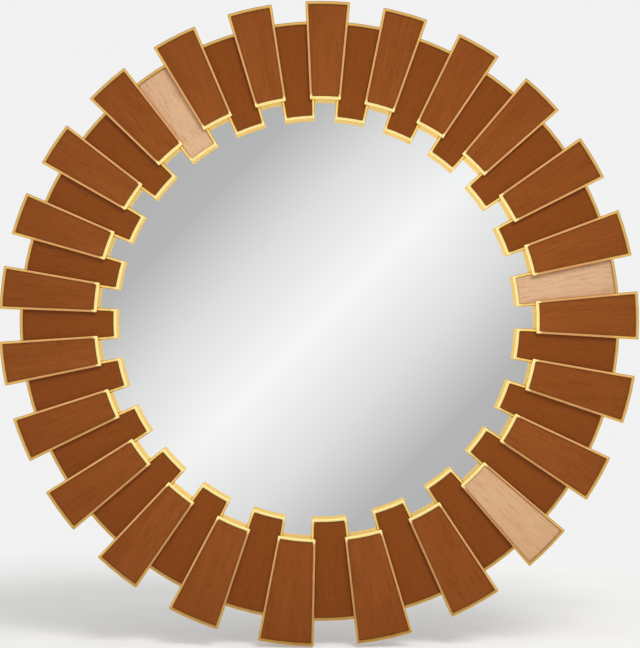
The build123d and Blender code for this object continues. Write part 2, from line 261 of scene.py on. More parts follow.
def veneer(name, light, dark, deep, streak, pore, streak_share):
    """Wood veneer, stained and lacquered to a low satin: long fine grain along each ray, slow light and
    dark figure, short dark pores, and no two panels of the same tone. Back rays take a deeper stain."""
    material, tree, shader = finish(name, specular_ior_level=0.12)
    grain = add(tree, "ShaderNodeAttribute", attribute_name="grain").outputs["Vector"]
    parts = add(tree, "ShaderNodeSeparateXYZ", {"Vector": grain})

    # Each pattern is as wide and as long as one of its marks
    patterns = []
    marks = ((15 * MM, 90 * MM, 3.0), (2.6 * MM, 26 * MM, 4.0), (0.7 * MM, 6 * MM, 2.0))
    for across, along, detail in marks:
        scale = (1 / across, 1.0, 1 / along)
        place = add(tree, "ShaderNodeVectorMath", {0: grain, 1: scale}, operation="MULTIPLY")
        noise = add(tree, "ShaderNodeTexNoise", {"Vector": place, "Scale": 1.0, "Detail": detail})
        patterns.append(noise)
    figure, flecks, pores = patterns

    panel = add(tree, "ShaderNodeTexWhiteNoise", {"W": parts.outputs["Y"]}, noise_dimensions="1D")
    slow = add(tree, "ShaderNodeMapRange", {"Value": figure, "From Min": 0.3, "From Max": 0.7})
    tone = add(tree, "ShaderNodeMath", {0: panel, 1: OWN_TONE, 2: slow}, operation="MULTIPLY_ADD")
    share = add(tree, "ShaderNodeMapRange", {"Value": tone, "From Max": 1 + OWN_TONE})
    bare = add(tree, "ShaderNodeMix", {0: share, 6: linear(dark), 7: linear(light)}, data_type="RGBA")
    back = add(tree, "ShaderNodeAttribute", attribute_name="back").outputs["Fac"]
    coat = add(tree, "ShaderNodeMath", {0: back, 1: BACK_STAIN}, operation="MULTIPLY")
    ground = add(
        tree, "ShaderNodeMix", {0: coat, 6: bare.outputs[2], 7: linear(deep)}, data_type="RGBA"
    )

    fleck = add(
        tree,
        "ShaderNodeMapRange",
        {"Value": flecks, "From Min": 0.5, "From Max": 0.72, "To Max": streak_share},
    )
    streaked = add(
        tree, "ShaderNodeMix", {0: fleck, 6: ground.outputs[2], 7: linear(streak)}, data_type="RGBA"
    )
    hole = add(
        tree, "ShaderNodeMapRange", {"Value": pores, "From Min": 0.6, "From Max": 0.72, "To Max": 0.5}
    )
    pored = add(
        tree, "ShaderNodeMix", {0: hole, 6: streaked.outputs[2], 7: linear(pore)}, data_type="RGBA"
    )

    # Stain and lacquer are a little heavier towards the outer end of each ray
    outer = add(
        tree,
        "ShaderNodeMapRange",
        {
            "Value": parts.outputs["Z"],
            "From Min": STAIN_START,
            "From Max": STAIN_END,
            "To Max": OUTER_STAIN,
        },
    )
    ended = add(
        tree, "ShaderNodeMix", {0: outer, 6: pored.outputs[2], 7: linear(streak)}, data_type="RGBA"
    )

    # Painted shade: the wood darkens in the corner under the lip, where the lip casts its shadow
    inward = add(tree, "ShaderNodeAttribute", attribute_name="inward").outputs["Vector"]
    gaps = add(tree, "ShaderNodeSeparateXYZ", {"Vector": inward})
    past_side = add(tree, "ShaderNodeMath", {0: gaps.outputs["X"], 1: SIDE_LIP}, operation="SUBTRACT")
    from_end = add(
        tree, "ShaderNodeMath", {0: gaps.outputs["Y"], 1: gaps.outputs["Z"]}, operation="MINIMUM"
    )
    past_end = add(tree, "ShaderNodeMath", {0: from_end, 1: END_LIP}, operation="SUBTRACT")
    corner = add(tree, "ShaderNodeMath", {0: past_side, 1: past_end}, operation="MINIMUM")
    lip_shadow = add(
        tree,
        "ShaderNodeMapRange",
        {"Value": corner, "From Min": 0.3 * MM, "From Max": 2.0 * MM, "To Min": 0.3, "To Max": 0.0},
    )
    colour = add(
        tree, "ShaderNodeMix", {0: lip_shadow, 6: ended.outputs[2], 7: linear(pore)}, data_type="RGBA"
    )
    tree.links.new(colour.outputs[2], shader.inputs["Base Color"])

    worn = add(tree, "ShaderNodeMapRange", {"Value": figure, "To Min": 0.38, "To Max": 0.54})
    tree.links.new(worn.outputs[0], shader.inputs["Roughness"])
    depth = add(tree, "ShaderNodeMath", {0: flecks, 1: hole}, operation="SUBTRACT")
    relief = add(tree, "ShaderNodeBump", {"Height": depth, "Distance": 0.05 * MM})
    tree.links.new(relief.outputs[0], shader.inputs["Normal"])
    return material


def dark_veneer():
    """Veneer in a warm brown stain: an even reddish brown with fine darker flecks."""
    return veneer("brown_stained_veneer", "#965220", "#874612", "#834310", "#6b310b", "#482006", 0.4)


def pale_veneer():
    """Unstained veneer under clear lacquer: pinkish straw with fine brown flecks."""
    return veneer("pale_clear_veneer", "#e0b88e", "#d3a57a", "#ddb48f", "#b78863", "#9a6c49", 0.55)


def mirror_silver():
    """Silvered float glass, 4 mm: a clean reflection with the faint green cast of the glass, a shade
    deeper towards the rim, and a waviness too slight to bend a straight line."""
    material, tree, shader = finish("silvered_float_glass", metallic=1.0, roughness=0.0)
    place = add(tree, "ShaderNodeTexCoord").outputs["Object"]
    low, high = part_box("mirror_glass")
    offset = add(tree, "ShaderNodeVectorMath", {0: place, 1: (low + high) / 2}, operation="SUBTRACT")
    reach = add(tree, "ShaderNodeVectorMath", {0: offset.outputs[0]}, operation="LENGTH")
    rim = add(
        tree,
        "ShaderNodeMapRange",
        {"Value": reach.outputs["Value"], "From Min": RIM_START, "From Max": (high.x - low.x) / 2},
    )
    tint = add(
        tree, "ShaderNodeMix", {0: rim, 6: linear("#eeefee"), 7: linear("#e9ebea")}, data_type="RGBA"
    )
    tree.links.new(tint.outputs[2], shader.inputs["Base Color"])
    wave = add(tree, "ShaderNodeTexNoise", {"Vector": place, "Scale": 1 / WAVE, "Detail": 0.0})
    relief = add(tree, "ShaderNodeBump", {"Height": wave, "Distance": 0.01 * MM})
    tree.links.new(relief.outputs[0], shader.inputs["Normal"])
    return material


def speckled(name, light, dark, grain, depth, smoothest, roughest, **values):
    """Dull finish whose tone and gloss drift over a grain of a real size, with a fine relief."""
    material, tree, shader = finish(name, **values)
    place = add(tree, "ShaderNodeTexCoord").outputs["Object"]
    wide = add(tree, "ShaderNodeTexNoise", {"Vector": place, "Scale": 1 / (40 * grain), "Detail": 5.0})
    fine = add(tree, "ShaderNodeTexNoise", {"Vector": place, "Scale": 1 / grain, "Detail": 2.0})
    mixed = add(tree, "ShaderNodeMath", {0: wide, 1: fine}, operation="MULTIPLY")
    tone = add(tree, "ShaderNodeMapRange", {"Value": mixed, "From Min": 0.12, "From Max": 0.4})
    colour = add(tree, "ShaderNodeMix", {0: tone, 6: linear(dark), 7: linear(light)}, data_type="RGBA")
    tree.links.new(colour.outputs[2], shader.inputs["Base Color"])
    gloss = add(tree, "ShaderNodeMapRange", {"Value": wide, "To Min": smoothest, "To Max": roughest})
    tree.links.new(gloss.outputs[0], shader.inputs["Roughness"])
    relief = add(tree, "ShaderNodeBump", {"Height": fine, "Distance": depth})
    tree.links.new(relief.outputs[0], shader.inputs["Normal"])
    return material


def black_stained_wood():
    """Beech blocks, stained black and left dull: nearly black with a dusty brown bloom."""
    return speckled("black_stained_beech", "#2c2420", "#181311", 1.0 * MM, 0.05 * MM, 0.6, 0.8)


def painted_fibreboard():
    """Fibreboard rolled with black paint: matt charcoal with a fine orange-peel and lighter scuffs."""
    return speckled("black_painted_fibreboard", "#2b2a29", "#1a1919", 1.4 * MM, 0.06 * MM, 0.5, 0.68)


def zinc_plate():
    """Bright zinc plating on steel screws: cool grey with a faint yellow and a crystalline mottle."""
    return speckled(
        "bright_zinc_plating", "#cfccbd", "#a9a798", 0.5 * MM, 0.01 * MM, 0.28, 0.42, metallic=1.0
    )


def nickel_plate():
    """Nickel plating on steel wire and strap: warm silver, brighter and smoother than zinc."""
    return speckled(
        "nickel_plating", "#d2cdc4", "#b6b0a6", 0.6 * MM, 0.008 * MM, 0.18, 0.3, metallic=1.0
    )


def bumper_rubber():
    """Moulded black rubber: deep grey with a soft bloom and a fine matt skin."""
    return speckled("moulded_black_rubber", "#2a2a2b", "#1b1b1c", 0.8 * MM, 0.03 * MM, 0.7, 0.85)


def floor_paint():
    """Painted studio floor: plain off-white and dull, which fades into the pale background."""
    material = speckled("off_white_floor_paint", "#f4f3f1", "#efeeec", 3.0 * MM, 0.02 * MM, 0.7, 0.85)
    tree = material.node_tree
    shader, surface = tree.nodes["Principled BSDF"], tree.nodes["Material Output"].inputs["Surface"]
    place = add(tree, "ShaderNodeTexCoord").outputs["Object"]
    flat = add(tree, "ShaderNodeVectorMath", {0: place, 1: (1.0, 1.0, 0.0)}, operation="MULTIPLY")
    reach = add(tree, "ShaderNodeVectorMath", {0: flat}, operation="LENGTH")
    fade = add(
        tree,
        "ShaderNodeMapRange",
        {"Value": reach.outputs["Value"], "From Min": FLOOR_FADE, "From Max": 0.97 * FLOOR_RADIUS},
        interpolation_type="SMOOTHSTEP",
    )
    glow = add(
        tree, "ShaderNodeEmission", {"Color": linear(BACKGROUND_COLOUR), "Strength": BACKGROUND_LEVEL}
    )
    blend = add(tree, "ShaderNodeMixShader", {0: fade, 1: shader, 2: glow})
    tree.links.new(blend.outputs[0], surface)
    return material


# Geometry Nodes trees


def new_tree(name, inputs, outputs=(("Geometry", "Geometry"),)):
    """Tree with named inputs and outputs, given as (name, kind), and the sockets that its nodes read."""
    tree = bpy.data.node_groups.new(name, "GeometryNodeTree")
    for way, sockets in (("INPUT", inputs), ("OUTPUT", outputs)):
        for label, kind in sockets:
            tree.interface.new_socket(label, in_out=way, socket_type=f"NodeSocket{kind}")
    return tree, add(tree, "NodeGroupInput").outputs


def ray_point_tree():
    """Turns a place on a ray into a point of the mirror. Across runs from -1 to 1 between the two sides,
    Radius is the distance from the hub, and Height is measured from the front of the board. The angles
    are read from the attributes that each ray's points carry."""
    tree, given = new_tree(
        "ray point",
        [("Across", "Float"), ("Radius", "Float"), ("Side Inset", "Float")]
        + [("Height", "Float"), ("Narrowed By", "Float"), ("Hub", "Vector")],
        [("Position", "Vector"), ("Local", "Vector"), ("From Side", "Float")],
    )
    angle = add(tree, "GeometryNodeInputNamedAttribute", {"Name": "angle"}, data_type="FLOAT")
    half = add(tree, "GeometryNodeInputNamedAttribute", {"Name": "half_angle"}, data_type="FLOAT")
    inset = add(
        tree, "ShaderNodeMath", {0: given["Side Inset"], 1: given["Radius"]}, operation="DIVIDE"
    )
    lost = add(tree, "ShaderNodeMath", {0: inset}, operation="ARCSINE")
    narrowed = add(tree, "ShaderNodeMath", {0: lost, 1: given["Narrowed By"]}, operation="ADD")
    edge = add(tree, "ShaderNodeMath", {0: half, 1: narrowed}, operation="SUBTRACT")
    turn = add(tree, "ShaderNodeMath", {0: given["Across"], 1: edge}, operation="MULTIPLY")
    depth = add(tree, "ShaderNodeMath", {0: given["Height"], 1: -1.0}, operation="MULTIPLY")
    arm = add(tree, "ShaderNodeCombineXYZ", {"Y": depth, "Z": given["Radius"]})
    local = add(tree, "ShaderNodeVectorRotate", {"Vector": arm, "Angle": turn}, rotation_type="Y_AXIS")
    placed = add(
        tree, "ShaderNodeVectorRotate", {"Vector": local, "Angle": angle}, rotation_type="Y_AXIS"
    )
    point = add(tree, "ShaderNodeVectorMath", {0: placed, 1: given["Hub"]}, operation="ADD")
    swing = add(tree, "ShaderNodeMath", {0: turn}, operation="ABSOLUTE")
    left = add(tree, "ShaderNodeMath", {0: half, 1: swing}, operation="SUBTRACT")
    sine = add(tree, "ShaderNodeMath", {0: left}, operation="SINE")
    from_side = add(tree, "ShaderNodeMath", {0: sine, 1: given["Radius"]}, operation="MULTIPLY")
    add(tree, "NodeGroupOutput", {"Position": point, "Local": local, "From Side": from_side})
    return tree


def frame_tree(ray_point):
    """Metal frame of a ray: its section of folded sheet swept round the ray's outline. A front ray also
    has an apron, which comes down to the glass behind its inner end."""
    sizes = ["Width", "Length", "Corner Radius", "Side Lip", "End Lip", "Lip Thickness"]
    sizes += ["Wall", "Edge Radius", "Sheet Radius", "Face", "Foot", "Apron Lap", "Apron Inset"]
    tree, given = new_tree(
        "ray frame",
        [("Geometry", "Geometry")]
        + [(size, "Float") for size in sizes]
        + [("Apron", "Bool"), ("Hub", "Vector"), ("Metal", "Material")],
    )
    place = add(tree, "GeometryNodeInputPosition")
    inner = add(tree, "GeometryNodeInputNamedAttribute", {"Name": "inner_end"}, data_type="FLOAT")
    outer = add(tree, "GeometryNodeInputNamedAttribute", {"Name": "outer_end"}, data_type="FLOAT")

    outline = add(
        tree,
        "GeometryNodeCurvePrimitiveQuadrilateral",
        {"Width": given["Width"], "Height": given["Length"]},
    )
    rounded = add(
        tree,
        "GeometryNodeFilletCurve",
        {"Curve": outline, "Count": 3, "Radius": given["Corner Radius"]},
        mode="POLY",
    )
    finer = add(tree, "GeometryNodeSubdivideCurve", {"Curve": rounded, "Cuts": 2})
    around = add(tree, "GeometryNodeCaptureAttribute", {"Geometry": finer})
    around.capture_items.new("VECTOR", "Place")
    tree.links.new(place.outputs[0], around.inputs["Place"])

    under = add(
        tree, "ShaderNodeMath", {0: given["Face"], 1: given["Lip Thickness"]}, operation="SUBTRACT"
    )
    corners = [
        (0.0, given["Foot"], given["Sheet Radius"]),
        (0.0, given["Face"], given["Edge Radius"]),
        (given["Side Lip"], given["Face"], given["Sheet Radius"]),
        (given["Side Lip"], under, given["Sheet Radius"]),
        (given["Wall"], under, 0.0),
        (given["Wall"], given["Foot"], given["Sheet Radius"]),
    ]
    index = add(tree, "GeometryNodeInputIndex")
    corner = add(tree, "GeometryNodeIndexSwitch", {"Index": index}, data_type="VECTOR", items=4)
    radius = add(tree, "GeometryNodeIndexSwitch", {"Index": index}, data_type="FLOAT", items=4)
    for number, (inset, height, rounding) in enumerate(corners):
        point = add(tree, "ShaderNodeCombineXYZ", {"X": inset, "Y": height})
        tree.links.new(point.outputs[0], corner.inputs[str(number)])
        if isinstance(rounding, float):
            radius.inputs[str(number)].default_value = rounding
        else:
            tree.links.new(rounding, radius.inputs[str(number)])
    circle = add(tree, "GeometryNodeCurvePrimitiveCircle", {"Resolution": 6})
    section = add(tree, "GeometryNodeSetPosition", {"Geometry": circle, "Position": corner})
    folded = add(
        tree,
        "GeometryNodeFilletCurve",
        {"Curve": section, "Count": 5, "Radius": radius, "Limit Radius": True},
        mode="POLY",
    )
    sheet = add(tree, "GeometryNodeCaptureAttribute", {"Geometry": folded})
    sheet.capture_items.new("VECTOR", "Place")
    tree.links.new(place.outputs[0], sheet.inputs["Place"])

    swept = add(
        tree, "GeometryNodeCurveToMesh", {"Curve": around, "Profile Curve": sheet, "Fill Caps": False}
    )
    on_rays = add(
        tree, "GeometryNodeInstanceOnPoints", {"Points": given["Geometry"], "Instance": swept}
    )
    loose = add(tree, "GeometryNodeRealizeInstances", {"Geometry": on_rays})

    flat = add(tree, "ShaderNodeSeparateXYZ", {"Vector": around.outputs["Place"]})
    inward = add(tree, "ShaderNodeSeparateXYZ", {"Vector": sheet.outputs["Place"]})
    half_width = add(tree, "ShaderNodeMath", {0: given["Width"], 1: 0.5}, operation="MULTIPLY")
    half_length = add(tree, "ShaderNodeMath", {0: given["Length"], 1: 0.5}, operation="MULTIPLY")
    across = add(tree, "ShaderNodeMath", {0: flat.outputs["X"], 1: half_width}, operation="DIVIDE")
    along = add(tree, "ShaderNodeMath", {0: flat.outputs["Y"], 1: half_length}, operation="DIVIDE")
    share = add(
        tree, "ShaderNodeMath", {0: inward.outputs["X"], 1: given["Side Lip"]}, operation="DIVIDE"
    )
    end_inset = add(tree, "ShaderNodeMath", {0: share, 1: given["End Lip"]}, operation="MULTIPLY")
    low = add(tree, "ShaderNodeMath", {0: inner, 1: end_inset}, operation="ADD")
    high = add(tree, "ShaderNodeMath", {0: outer, 1: end_inset}, operation="SUBTRACT")
    reach = add(
        tree, "ShaderNodeMapRange", {"Value": along, "From Min": -1.0, "To Min": low, "To Max": high}
    )
    placed = add(tree, "GeometryNodeGroup", node_tree=ray_point)
    for label, source in (
        ("Across", across.outputs[0]),
        ("Radius", reach.outputs[0]),
        ("Side Inset", inward.outputs["X"]),
        ("Height", inward.outputs["Y"]),
        ("Hub", given["Hub"]),
    ):
        tree.links.new(source, placed.inputs[label])
    frame_mesh = add(
        tree, "GeometryNodeSetPosition", {"Geometry": loose, "Position": placed.outputs["Position"]}
    )
    outer_corner = add(tree, "ShaderNodeCombineXYZ", {"Y": given["Face"]})
    gap = add(
        tree, "ShaderNodeVectorMath", {0: sheet.outputs["Place"], 1: outer_corner}, operation="DISTANCE"
    )
    # Share of the paler edge band: rubbed wear and painted highlight along the outer rounding
    edge_wear_and_sheen = add(
        tree,
        "ShaderNodeMapRange",
        {
            "Value": gap.outputs["Value"],
            "From Min": EDGE_WEAR_AND_SHEEN[0],
            "From Max": EDGE_WEAR_AND_SHEEN[1],
            "To Min": 1.0,
            "To Max": 0.0,
        },
    )
    marked = frame_mesh
    for label, source in (
        ("along", along.outputs[0]),
        ("rubbed_and_sheen", edge_wear_and_sheen.outputs[0]),
        ("from_edge", inward.outputs["X"]),
    ):
        marked = add(
            tree,
            "GeometryNodeStoreNamedAttribute",
            {"Geometry": marked, "Name": label, "Value": source},
            data_type="FLOAT",
            domain="POINT",
        )

    plate = add(
        tree,
        "GeometryNodeMeshCube",
        {"Size": (2.0, 1.0, 1.0), "Vertices X": 17, "Vertices Y": 2, "Vertices Z": 2},
    )
    behind = add(tree, "GeometryNodeInstanceOnPoints", {"Points": given["Geometry"], "Instance": plate})
    apron = add(tree, "GeometryNodeRealizeInstances", {"Geometry": behind})
    side = add(tree, "ShaderNodeSeparateXYZ", {"Vector": place})
    wall_end = add(tree, "ShaderNodeMath", {0: inner, 1: given["Wall"]}, operation="ADD")
    through = add(
        tree,
        "ShaderNodeMapRange",
        {
            "Value": side.outputs["Y"],
            "From Min": -0.5,
            "From Max": 0.5,
            "To Min": inner,
            "To Max": wall_end,
        },
    )
    rise = add(
        tree,
        "ShaderNodeMapRange",
        {"Value": side.outputs["Z"], "From Min": -0.5, "From Max": 0.5, "To Max": under},
    )
    hung = add(tree, "GeometryNodeGroup", node_tree=ray_point)
    for label, source in (
        ("Across", side.outputs["X"]),
        ("Radius", through.outputs[0]),
        ("Side Inset", given["Apron Inset"]),
        ("Height", rise.outputs[0]),
        ("Narrowed By", given["Apron Lap"]),
        ("Hub", given["Hub"]),
    ):
        tree.links.new(source, hung.inputs[label])
    apron_mesh = add(
        tree, "GeometryNodeSetPosition", {"Geometry": apron, "Position": hung.outputs["Position"]}
    )
    inner_marked = add(
        tree,
        "GeometryNodeStoreNamedAttribute",
        {"Geometry": apron_mesh, "Name": "along", "Value": -1.0},
        data_type="FLOAT",
        domain="POINT",
    )
    both = add(tree, "GeometryNodeJoinGeometry", {"Geometry": marked})
    tree.links.new(inner_marked.outputs[0], both.inputs[0])
    chosen = add(
        tree,
        "GeometryNodeSwitch",
        {"Switch": given["Apron"], "False": marked, "True": both},
        input_type="GEOMETRY",
    )
    end_tree(tree, chosen, given["Metal"])
    return tree


def end_tree(tree, geometry, material):
    """Merges doubles, shades all but the creases smooth, and gives the material."""
    merged = add(tree, "GeometryNodeMergeByDistance", {"Geometry": geometry, "Distance": DOUBLES})
    smooth = add(
        tree, "GeometryNodeSetShadeSmooth", {"Geometry": merged, "Shade Smooth": True}, domain="FACE"
    )
    bend = add(tree, "GeometryNodeInputMeshEdgeAngle")
    sharp = add(
        tree, "FunctionNodeCompare", {0: bend, 1: CREASE}, data_type="FLOAT", operation="GREATER_THAN"
    )
    creased = add(
        tree,
        "GeometryNodeSetShadeSmooth",
        {"Geometry": smooth, "Selection": sharp, "Shade Smooth": False},
        domain="EDGE",
    )
    real = add(tree, "GeometryNodeRealizeInstances", {"Geometry": creased})
    finished = add(tree, "GeometryNodeSetMaterial", {"Geometry": real, "Material": material})
    add(tree, "NodeGroupOutput", {"Geometry": finished})


def panel_tree(ray_point):
    """Wooden panels of some of the rays. Each point of a panel carries where it lies in its own ray's
    grain, and how far it is from the side and the end of its frame."""
    tree, given = new_tree(
        "ray panels",
        [("Geometry", "Geometry"), ("Inset", "Float"), ("Lip Thickness", "Float")]
        + [("Grain Shift", "Float"), ("Hub", "Vector"), ("Wood", "Material")],
    )
    place = add(tree, "GeometryNodeInputPosition")
    board = add(
        tree,
        "GeometryNodeMeshCube",
        {"Size": (2.0, 2.0, 1.0), "Vertices X": 9, "Vertices Y": 25, "Vertices Z": 2},
    )
    laid = add(tree, "GeometryNodeInstanceOnPoints", {"Points": given["Geometry"], "Instance": board})
    loose = add(tree, "GeometryNodeRealizeInstances", {"Geometry": laid})
    flat = add(tree, "ShaderNodeSeparateXYZ", {"Vector": place})
    inner = add(tree, "GeometryNodeInputNamedAttribute", {"Name": "inner_end"}, data_type="FLOAT")
    outer = add(tree, "GeometryNodeInputNamedAttribute", {"Name": "outer_end"}, data_type="FLOAT")
    face = add(tree, "GeometryNodeInputNamedAttribute", {"Name": "face"}, data_type="FLOAT")
    foot = add(tree, "GeometryNodeInputNamedAttribute", {"Name": "foot"}, data_type="FLOAT")
    number = add(tree, "GeometryNodeInputNamedAttribute", {"Name": "number"}, data_type="FLOAT")
    low = add(tree, "ShaderNodeMath", {0: inner, 1: given["Inset"]}, operation="ADD")
    high = add(tree, "ShaderNodeMath", {0: outer, 1: given["Inset"]}, operation="SUBTRACT")
    reach = add(
        tree,
        "ShaderNodeMapRange",
        {"Value": flat.outputs["Y"], "From Min": -1.0, "To Min": low, "To Max": high},
    )
    top = add(tree, "ShaderNodeMath", {0: face, 1: given["Lip Thickness"]}, operation="SUBTRACT")
    rise = add(
        tree,
        "ShaderNodeMapRange",
        {"Value": flat.outputs["Z"], "From Min": -0.5, "From Max": 0.5, "To Min": foot, "To Max": top},
    )
    placed = add(tree, "GeometryNodeGroup", node_tree=ray_point)
    for label, source in (
        ("Across", flat.outputs["X"]),
        ("Radius", reach.outputs[0]),
        ("Side Inset", given["Inset"]),
        ("Height", rise.outputs[0]),
        ("Hub", given["Hub"]),
    ):
        tree.links.new(source, placed.inputs[label])

    # The two attributes are stored before the points move, while their places still say what they are
    shift = add(tree, "ShaderNodeMath", {0: number, 1: given["Grain Shift"]}, operation="MULTIPLY")
    apart = add(tree, "ShaderNodeCombineXYZ", {"Y": shift})
    grain = add(tree, "ShaderNodeVectorMath", {0: placed.outputs["Local"], 1: apart}, operation="ADD")
    grained = add(
        tree,
        "GeometryNodeStoreNamedAttribute",
        {"Geometry": loose, "Name": "grain", "Value": grain},
        data_type="FLOAT_VECTOR",
        domain="POINT",
    )
    from_inner = add(tree, "ShaderNodeMath", {0: reach, 1: inner}, operation="SUBTRACT")
    from_outer = add(tree, "ShaderNodeMath", {0: outer, 1: reach}, operation="SUBTRACT")
    inward = add(
        tree,
        "ShaderNodeCombineXYZ",
        {"X": placed.outputs["From Side"], "Y": from_inner, "Z": from_outer},
    )
    edged = add(
        tree,
        "GeometryNodeStoreNamedAttribute",
        {"Geometry": grained, "Name": "inward", "Value": inward},
        data_type="FLOAT_VECTOR",
        domain="POINT",
    )
    panels = add(
        tree, "GeometryNodeSetPosition", {"Geometry": edged, "Position": placed.outputs["Position"]}
    )
    end_tree(tree, panels, given["Wood"])
    return tree


def screw_tree():
    """Countersunk cross-head screws, each driven in along -Y from its point and turned at random."""
    sizes = ["Head", "Head Height", "Shank", "Length", "Recess Span", "Recess Width", "Recess Depth"]
    tree, given = new_tree(
        "countersunk screws",
        [("Geometry", "Geometry")] + [(size, "Float") for size in sizes] + [("Metal", "Material")],
    )
    head = add(tree, "ShaderNodeMath", {0: given["Head"], 1: 0.5}, operation="MULTIPLY")
    shank = add(tree, "ShaderNodeMath", {0: given["Shank"], 1: 0.5}, operation="MULTIPLY")
    cone = add(
        tree,
        "GeometryNodeMeshCone",
        {"Vertices": 24, "Radius Top": head, "Radius Bottom": shank, "Depth": given["Head Height"]},
    )
    up = add(tree, "ShaderNodeMath", {0: given["Head Height"], 1: -1.0}, operation="MULTIPLY")
    sunk = add(tree, "ShaderNodeCombineXYZ", {"Z": up})
    countersunk = add(tree, "GeometryNodeTransform", {"Geometry": cone, "Translation": sunk})
    slots = add(tree, "GeometryNodeJoinGeometry")
    deep = add(tree, "ShaderNodeMath", {0: given["Recess Depth"], 1: 2.0}, operation="MULTIPLY")
    for along, across in (("X", "Y"), ("Y", "X")):
        size = add(
            tree,
            "ShaderNodeCombineXYZ",
            {along: given["Recess Span"], across: given["Recess Width"], "Z": deep},
        )
        slot = add(tree, "GeometryNodeMeshCube", {"Size": size})
        tree.links.new(slot.outputs[0], slots.inputs[0])
    cut = add(
        tree,
        "GeometryNodeMeshBoolean",
        {"Mesh 1": countersunk, "Mesh 2": slots, "Self Intersection": True},
        operation="DIFFERENCE",
        solver="EXACT",
    )
    rod = add(
        tree,
        "GeometryNodeMeshCylinder",
        {"Vertices": 16, "Radius": shank, "Depth": given["Length"]},
    )
    half = add(tree, "ShaderNodeMath", {0: given["Length"], 1: -0.5}, operation="MULTIPLY")
    lower = add(tree, "ShaderNodeMath", {0: half, 1: given["Head Height"]}, operation="SUBTRACT")
    low = add(tree, "ShaderNodeCombineXYZ", {"Z": lower})
    stem = add(tree, "GeometryNodeTransform", {"Geometry": rod, "Translation": low})
    screw = add(tree, "GeometryNodeJoinGeometry", {"Geometry": cut})
    tree.links.new(stem.outputs[0], screw.inputs[0])
    laid = add(
        tree,
        "GeometryNodeTransform",
        {"Geometry": screw, "Rotation": (-pi / 2, 0.0, 0.0)},
    )
    turn = add(
        tree, "FunctionNodeRandomValue", {"Max": (0.0, 2 * pi, 0.0), "Seed": 7}, data_type="FLOAT_VECTOR"
    )
    driven = add(
        tree,
        "GeometryNodeInstanceOnPoints",
        {"Points": given["Geometry"], "Instance": laid, "Rotation": turn},
    )
    loose = add(tree, "GeometryNodeRealizeInstances", {"Geometry": driven})
    end_tree(tree, loose, given["Metal"])
    return tree


# Pieces


def grow(name, tree, values, points):
    """Runs a tree on points, each a place with its attributes, and keeps the result as a plain mesh."""
    start = bpy.data.meshes.new(name)
    start.from_pydata([place for place, _ in points], [], [])
    for label in points[0][1]:
        layer = start.attributes.new(label, "FLOAT", "POINT")
        layer.data.foreach_set("value", [carried[label] for _, carried in points])
    piece = bpy.data.objects.new(name, start)
    bpy.context.scene.collection.objects.link(piece)
    modifier = piece.modifiers.new(name, "NODES")
    modifier.node_group = tree
    for socket in tree.interface.items_tree:
        if socket.in_out == "INPUT" and socket.name in values:
            modifier[socket.identifier] = values[socket.name]
    layers = bpy.context.evaluated_depsgraph_get()
    grown = piece.evaluated_get(layers)
    mesh = bpy.data.meshes.new_from_object(grown, preserve_all_data_layers=True, depsgraph=layers)
    piece.modifiers.clear()
    piece.data = mesh
    bpy.data.meshes.remove(start)
    mesh.name = name
    return piece


def settle(piece, slot, *nodes, body="root"):
    """Puts a piece in the place of its CAD nodes."""
    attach(piece, body)
    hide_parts(*nodes)


def ray_shape(kind, number, foot):
    """Angles, ends and heights of a ray, measured on its CAD frame."""
    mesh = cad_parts[f"{kind}_frame_{number:02d}"].data
    spots = [v.co - HUB for v in mesh.vertices]
    middle = atan2(sum(s.x for s in spots), sum(s.z for s in spots))
    turns = [(atan2(s.x, s.z) - middle + pi) % (2 * pi) - pi for s in spots]
    reaches = [hypot(s.x, s.z) for s in spots]
    return {
        "angle": middle + (min(turns) + max(turns)) / 2,
        "half_angle": (max(turns) - min(turns)) / 2,
        "inner_end": min(reaches),
        "outer_end": max(reaches),
        "face": max(-s.y for s in spots),
        "foot": foot,
        "number": number + (0.5 if kind == "back" else 0.0),
        "back": float(kind == "back"),
    }


def eased(name, node, width):
    """Copy of a CAD node with its doubles merged, its edges rounded by a width and its curves smooth."""
    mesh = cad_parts[node].data.copy()
    mesh.name = name
    work = bmesh.new()
    work.from_mesh(mesh)
    bmesh.ops.remove_doubles(work, verts=work.verts, dist=CAD_DOUBLES)
    bmesh.ops.dissolve_limit(work, angle_limit=CAD_FLAT, verts=work.verts, edges=work.edges)
    work.to_mesh(mesh)
    work.free()
    piece = bpy.data.objects.new(name, mesh)
    bpy.context.scene.collection.objects.link(piece)
    if width:
        bevel = piece.modifiers.new("rounded edges", "BEVEL")
        bevel.width = width
        bevel.segments = 2
        bevel.limit_method = "ANGLE"
        bevel.angle_limit = CAD_CREASE
        bevel.use_clamp_overlap = True
        layers = bpy.context.evaluated_depsgraph_get()
        rounded = bpy.data.meshes.new_from_object(piece.evaluated_get(layers))
        piece.modifiers.clear()
        piece.data = rounded
        bpy.data.meshes.remove(mesh)
        rounded.name = name
    piece.data.shade_smooth()
    work = bmesh.new()
    work.from_mesh(piece.data)
    for edge in work.edges:
        edge.smooth = edge.calc_face_angle(0.0) < CAD_CREASE
    work.to_mesh(piece.data)
    work.free()
    return piece


def dress(node, material):
    """Gives a carried-over CAD node its material."""
    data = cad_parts[node]
    if not data.material_slots:
        data.data.materials.append(material)
    for slot in data.material_slots:
        slot.link = "OBJECT"
        slot.material = material


brass = polished_brass()
brown_wood = dark_veneer()
pale_wood = pale_veneer()

ray_point = ray_point_tree()
frames = frame_tree(ray_point)
panels = panel_tree(ray_point)
back_face = BOARD_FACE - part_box("back_frame_01")[0].y
rays = {}
for kind, foot in (("front", back_face), ("back", 0.0)):
    for number in range(1, RAY_COUNT + 1):
        rays[kind, number] = ray_shape(kind, number, foot)

